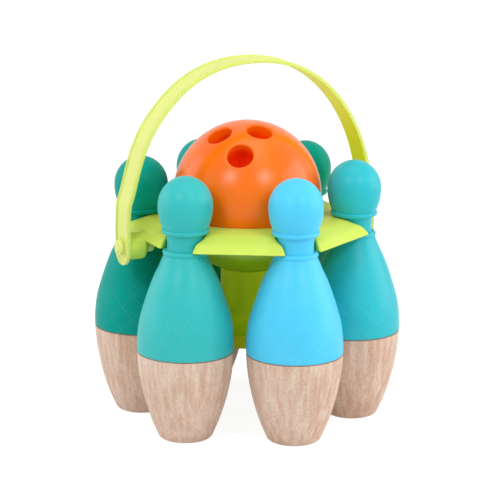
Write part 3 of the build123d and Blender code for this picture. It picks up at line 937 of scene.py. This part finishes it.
@dataclass
class PinRing:
    """Six pins round the carrier: each a moulded top with two neck rings on a turned wooden foot.

    Sizes are in millimetres and angles in degrees.
    """

    circle: float = 77.5
    first_angle: float = 30.0
    height: float = 190.0
    head_height: float = 169.4
    head_radius: float = 19.5
    crown_reach: float = 20.6
    chin_reach: float = 28.0
    chin_span: Span = (-3.0, -35.1)
    upper_ring: tuple[Point, Point] = ((17.0, 151.5), (14.0, 149.9))
    waist: tuple[Point, Point] = ((12.9, 142.8), (13.2, 137.9))
    lower_ring: tuple[Point, Point] = ((16.2, 136.0), (15.4, 134.4))
    shoulder: tuple[Point, ...] = ((18.5, 126.7), (23.5, 115.7), (28.4, 101.8), (32.9, 85.9))
    shoulder_entry: Point = (13.9, 138.6)
    shoulder_exit: Point = (34.3, 58.0)
    skirt_height: float = 67.0
    top_edge: float = 0.5
    top_edge_sag: float = 0.14
    foot_edge: float = 0.4
    base_height: float = 2.4
    base_round: tuple[Point, Point] = ((0.15, 0.75), (1.75, 0.0))
    belly: float = 34.5
    belly_height: float = 70.0
    foot_curve: float = 160.0
    seam: float = 64.5
    socket: float = 31.4
    socket_roof: float = 78.9
    spigot: float = 31.35
    spigot_top: float = 78.5
    spigot_edge: float = 1.0
    well: float = 4.8
    well_top: float = 45.0
    bore: float = 2.2
    crease: float = 38.0
    facets: int = 128
    colours: tuple[PinColour, ...] = (
        PinColour.SEA_GREEN,
        PinColour.DEEP_TEAL,
        PinColour.PINE_TEAL,
        PinColour.TURQUOISE,
        PinColour.SKY,
        PinColour.AQUA,
    )
    turns: tuple[float, ...] = (-104.0, -122.0, -97.0, -111.3, -119.0, -115.0)
    partings: tuple[float, ...] = (-50.0, -160.0, -20.0, -61.5, -148.0, -85.0)

    def foot_radius(self, height: float) -> float:
        """Gives the radius of the lower body at a height.

        Args:
            height: The height.

        Returns:
            The radius.
        """
        drop = self.belly_height - height
        return self.belly - self.foot_curve + math.sqrt(self.foot_curve**2 - drop**2)

    def top_section(self) -> Section:
        """Draws the moulded top, from the crown down to the seam and up into its socket.

        Returns:
            The half section.
        """
        section = Section().ellipse(self.head_height, self.head_radius, self.crown_reach, 90, 0, 22)
        section.points[0] = (0.0, self.height)
        section.ellipse(self.head_height, self.head_radius, self.chin_reach, *self.chin_span, 12)
        for (via, end), steps in ((self.upper_ring, 12), (self.waist, 10), (self.lower_ring, 12)):
            section.arc(via, end, steps)
        through = [*self.shoulder, (self.belly, self.belly_height)]
        section.curve(through, self.shoulder_entry, self.shoulder_exit, 6)
        edge = self.foot_radius(self.seam)
        skirt = (self.foot_radius(self.skirt_height), self.skirt_height)
        section.to(skirt, (edge, self.seam + self.top_edge))
        middle = (edge - self.top_edge_sag, self.seam + self.top_edge_sag)
        section.arc(middle, (edge - self.top_edge, self.seam), 4)
        section.to((self.socket, self.seam), (self.socket, self.socket_roof), (0.0, self.socket_roof))
        return section

    def foot_section(self) -> Section:
        """Draws the wooden foot with its spigot and its screw well.

        Returns:
            The half section, closed in itself.
        """
        edge = self.foot_radius(self.seam)
        section = Section().to(
            (self.bore, self.spigot_top),
            (self.spigot - self.spigot_edge, self.spigot_top),
            (self.spigot, self.spigot_top - self.spigot_edge),
            (self.spigot, self.seam),
            (edge - 0.35, self.seam),
        )
        brim = self.seam - self.foot_edge
        section.arc((edge - 0.1, self.seam - 0.1), (self.foot_radius(brim), brim), 3)
        for step in range(1, 25):
            height = brim - (brim - self.base_height) * step / 24
            section.to((self.foot_radius(height), height))
        base = self.foot_radius(0)
        via, end = ((base - inset, height) for inset, height in self.base_round)
        section.arc(via, end, 6)
        section.to((self.well + self.foot_edge, 0.0), (self.well, self.foot_edge))
        return section.to(
            (self.well, self.well_top), (self.bore, self.well_top), (self.bore, self.spigot_top)
        )

    def build(self, patterns: Patterns, steel: Material, nodes: Nodes) -> None:
        """Models one pin and copies it to the six places.

        Args:
            patterns: The shared groups.
            steel: The screws' material.
            nodes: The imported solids.
        """
        top = Bench.turn("pin_top_master", self.top_section(), self.facets)
        foot = Bench.turn("pin_foot_master", self.foot_section(), self.facets)
        for piece in (top, foot):
            Bench.smooth(piece, self.crease)
        for index, (colour, turn, parting) in enumerate(zip(self.colours, self.turns, self.partings)):
            number = index + 1
            angle = math.radians(self.first_angle + 60 * index)
            centre = Vector((math.cos(angle), math.sin(angle), 0)) * self.circle * MM
            shell = Bench.copy(top, f"pin_{number}_moulded_top", centre)
            base = Bench.copy(foot, f"pin_{number}_turned_foot", centre)
            body = f"pin_{number}"
            plastic = PinPlastic(colour).build(patterns, centre, turn, parting)
            wood = TurnedWood().build(patterns, number, centre, turn * 3)
            Bench.dress(shell, plastic, f"pin_{number}_plastic", body, f"pin_{number}_top")
            Bench.dress(base, wood, "foot_wood", body, f"pin_{number}_foot")
            Bench.recolour(nodes[f"pin_{number}_screw"], steel)
        for piece in (top, foot):
            bpy.data.objects.remove(piece)


@dataclass
class Ball:
    """The ball with its three finger holes, in millimetres and degrees."""

    radius: float = 53.9
    height: float = 163.4
    tilt: float = 29.0
    heading: float = -129.4
    hole_radius: float = 9.3
    hole_depth: float = 25.0
    hole_spread: float = 18.3
    hole_turn: float = 12.9
    holes: int = 3
    mouth_round: float = 1.3
    mouth_angles: tuple[int, ...] = (165, 150, 135, 120, 105, 92)
    mouth_straight: float = 8.0
    cutter_lip: float = 4.0
    cutter_rise: Span = (1.4, 9.0)
    crease: float = 32.0
    facets: int = 96

    def cutter_section(self) -> Section:
        """Draws the shape of a finger hole, measured up from the ball's centre.

        Returns:
            The half section, which flares at the mouth.
        """
        floor = self.radius - self.hole_depth + self.hole_radius
        section = Section().ellipse(floor, self.hole_radius, self.hole_radius, -90, 0, 20)
        section.points[0] = (0.0, floor - self.hole_radius)
        flare = self.hole_radius + self.mouth_round
        level = math.sqrt((self.radius - self.mouth_round) ** 2 - flare**2)
        section.to((self.hole_radius, level - self.mouth_straight), (self.hole_radius, level))
        for angle in self.mouth_angles:
            turn = math.radians(angle)
            way = (math.cos(turn), math.sin(turn))
            section.to((flare + self.mouth_round * way[0], level + self.mouth_round * way[1]))
        low, high = (level + rise for rise in self.cutter_rise)
        return section.to((flare + self.cutter_lip, low), (flare + self.cutter_lip, high), (0.0, high))

    def build(self, patterns: Patterns) -> None:
        """Models the ball.

        Args:
            patterns: The shared groups.
        """
        centre = Vector((0, 0, self.height * MM))
        aim = Matrix.Rotation(math.radians(self.heading), 4, "Z")
        grip = aim @ Matrix.Rotation(math.radians(self.tilt), 4, "Y")
        bpy.ops.object.select_all(action="DESELECT")
        bpy.ops.mesh.primitive_uv_sphere_add(
            segments=2 * self.facets, ring_count=self.facets, radius=self.radius * MM
        )
        ball = bpy.context.active_object
        ball.name = ball.data.name = "ball_shell"
        Bench.settle(ball, Matrix.Translation(centre) @ grip)
        cutters = []
        for number in range(self.holes):
            spin = Matrix.Rotation(math.radians(self.hole_turn + 360 / self.holes * number), 4, "Z")
            lean = Matrix.Rotation(math.radians(self.hole_spread), 4, "Y")
            cutter = Bench.turn(f"finger_cutter_{number + 1}", self.cutter_section(), self.facets)
            Bench.settle(cutter, Matrix.Translation(centre) @ grip @ spin @ lean)
            cutters.append(cutter)
        Bench.cut(ball, cutters)
        Bench.smooth(ball, self.crease)
        orange = BallPlastic().build(patterns, centre)
        Bench.dress(ball, orange, "ball_plastic", "ball", "ball_upper", "ball_lower")


@dataclass
class Carrier:
    """The lobed plate with its bowl, the plain stem, the handle and its pivot pins."""

    crease: float = 34.0
    # Colour of the painted shade on the stem below the plate.
    stem_shade_colour: Colour = screen_colour(238, 248, 34)

    def build(self, patterns: Patterns, steel: Material, nodes: Nodes) -> None:
        """Carries the moulded solids over and dresses them.

        Args:
            patterns: The shared groups.
            steel: The screw's finish.
            nodes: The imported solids.
        """
        lime = CarrierPlastic().build(patterns)
        # The stem's plastic takes its own painted shade colour below the plate.
        stem = CarrierPlastic("stem_plastic", under_plate_shade=self.stem_shade_colour).build(patterns)
        strap = HandlePlastic().build()
        plan = (
            ("carrier_plate", lime, "carrier_plastic", "carrier"),
            ("carrier_stem", stem, "carrier_plastic", "carrier"),
            ("handle", strap, "handle_plastic", "handle"),
            ("left_pivot_pin", strap, "handle_plastic", "carrier"),
            ("right_pivot_pin", strap, "handle_plastic", "carrier"),
        )
        for node, material, slot, body in plan:
            piece = Bench.carry_over(nodes[node], f"{node}_moulding")
            Bench.even_out(piece, self.crease)
            Bench.dress(piece, material, slot, body, node)
        Bench.recolour(nodes["stem_screw"], steel)


@dataclass(frozen=True)
class SoftBox:
    """A soft box, in degrees from the camera's side and the horizon, metres and watts."""

    name: str
    azimuth: float
    elevation: float
    distance: float
    size: tuple[float, float]
    power: float


@dataclass
class Studio:
    """White floor and room, two soft boxes, two side panels, a top light and the camera."""

    lights: tuple[SoftBox, ...] = (
        SoftBox("soft_box_left", -32, 37, 1.7, (0.42, 0.42), 6.2),
        SoftBox("soft_box_right", 32, 37, 1.7, (0.42, 0.42), 6.2),
        SoftBox("side_panel_left", -98, 16, 1.5, (1.3, 1.0), 6.6),
        SoftBox("side_panel_right", 92, 16, 1.5, (1.2, 1.0), 10.0),
        SoftBox("top_light", 0, 82, 1.6, (1.2, 1.2), 7.0),
    )
    ambient: float = 0.40
    floor_glow: float = 0.90
    floor_shade: Colour = (0.25, 0.25, 0.25, 1.0)
    floor_colour: Colour = (0.86, 0.86, 0.86, 1.0)
    camera_place: Vector = field(default_factory=lambda: Vector((-0.74574, -1.52696, 0.54472)))
    camera_turn: tuple[float, float, float] = (76.0091, -0.298, -25.9558)
    focal_pixels: float = 2398.76
    offset_pixels: float = 2.94
    picture: float = 500.0
    sensor: float = 36.0
    camera_side: float = -116.03
    floor_size: float = 6.0
    floor_height: float = -0.2 * MM
    floor_roughness: float = 0.9
    target: Vector = field(default_factory=lambda: Vector((0, 0, 0.13)))

    def white_share(self, graph: Graph) -> Socket:
        """Gives 1 for rays that look at the background and 0 for rays that light the object.

        Args:
            graph: The graph of the material or world.

        Returns:
            The share's socket.
        """
        rays = graph.put("LightPath").outputs
        seen = graph.maths("MAXIMUM", rays["Is Camera Ray"], rays["Is Glossy Ray"])
        return graph.maths("MAXIMUM", seen, rays["Is Transmission Ray"])

    def build_world(self) -> None:
        """Builds a white world that lights the object at a plain level."""
        world = bpy.data.worlds.new("white_room")
        bpy.context.scene.world = world
        world.use_nodes = True
        graph = Graph(world.node_tree)
        out = world.node_tree.nodes["World Output"]
        soft = graph.put("Background", {"Color": (1, 1, 1, 1), "Strength": self.ambient})
        white = graph.put("Background", {"Color": (1, 1, 1, 1), "Strength": 1.0})
        mix = graph.put("MixShader", {0: self.white_share(graph), 1: soft.outputs[0], 2: white.outputs[0]})
        graph.feed(mix.outputs[0], out.inputs["Surface"])

    def build_floor(self) -> None:
        """Builds the white floor, which keeps a trace of the object's shadow."""
        bpy.ops.object.select_all(action="DESELECT")
        bpy.ops.mesh.primitive_plane_add(size=self.floor_size, location=(0, 0, self.floor_height))
        floor = bpy.context.active_object
        floor.name = "studio_floor"
        surface = Surface("studio_white", self.floor_roughness, 0.0)
        graph = surface.graph
        seen = self.white_share(graph)
        surface.colour(graph.blend(seen, self.floor_colour, self.floor_shade))
        glow = surface.shader.inputs
        glow["Emission Color"].default_value = (1, 1, 1, 1)
        graph.feed(graph.maths("MULTIPLY", seen, self.floor_glow), glow["Emission Strength"])
        floor.data.materials.append(surface.material)

    def add_light(self, box: SoftBox) -> None:
        """Adds a soft box that faces the object.

        Args:
            box: The soft box.
        """
        heading = math.radians(box.azimuth + self.camera_side)
        rise = math.radians(box.elevation)
        level = math.cos(rise)
        way = Vector((math.cos(heading) * level, math.sin(heading) * level, math.sin(rise)))
        bpy.ops.object.light_add(type="AREA", location=self.target + way * box.distance)
        light = bpy.context.active_object
        light.name = box.name
        light.rotation_euler = way.to_track_quat("Z", "Y").to_euler()
        light.data.shape = "RECTANGLE"
        light.data.size, light.data.size_y = box.size
        light.data.energy = box.power

    def build_camera(self) -> None:
        """Builds the camera at the photograph's place."""
        turn = [math.radians(angle) for angle in self.camera_turn]
        bpy.ops.object.camera_add(location=self.camera_place, rotation=turn)
        camera = bpy.context.active_object
        camera.name = "photo_camera"
        camera.data.sensor_width = self.sensor
        camera.data.lens = self.sensor * self.focal_pixels / self.picture
        camera.data.shift_x = self.offset_pixels / self.picture
        camera.data.clip_end = 20.0
        bpy.context.scene.camera = camera

    def build(self) -> None:
        """Builds the whole studio."""
        self.build_world()
        self.build_floor()
        for box in self.lights:
            self.add_light(box)
        self.build_camera()
        bpy.context.scene.view_settings.view_transform = "Standard"
        LOG.info("studio is ready")


def main() -> None:
    """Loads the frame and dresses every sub-assembly."""
    logging.basicConfig(level=logging.INFO, format="%(name)s: %(message)s")
    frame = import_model()
    nodes = frame["nodes"]
    patterns = Patterns()
    steel = ScrewSteel().build(patterns)
    PinRing().build(patterns, steel, nodes)
    Ball().build(patterns)
    Carrier().build(patterns, steel, nodes)
    Studio().build()
    LOG.info("sizes are written")


if __name__ == "__main__":
    main()
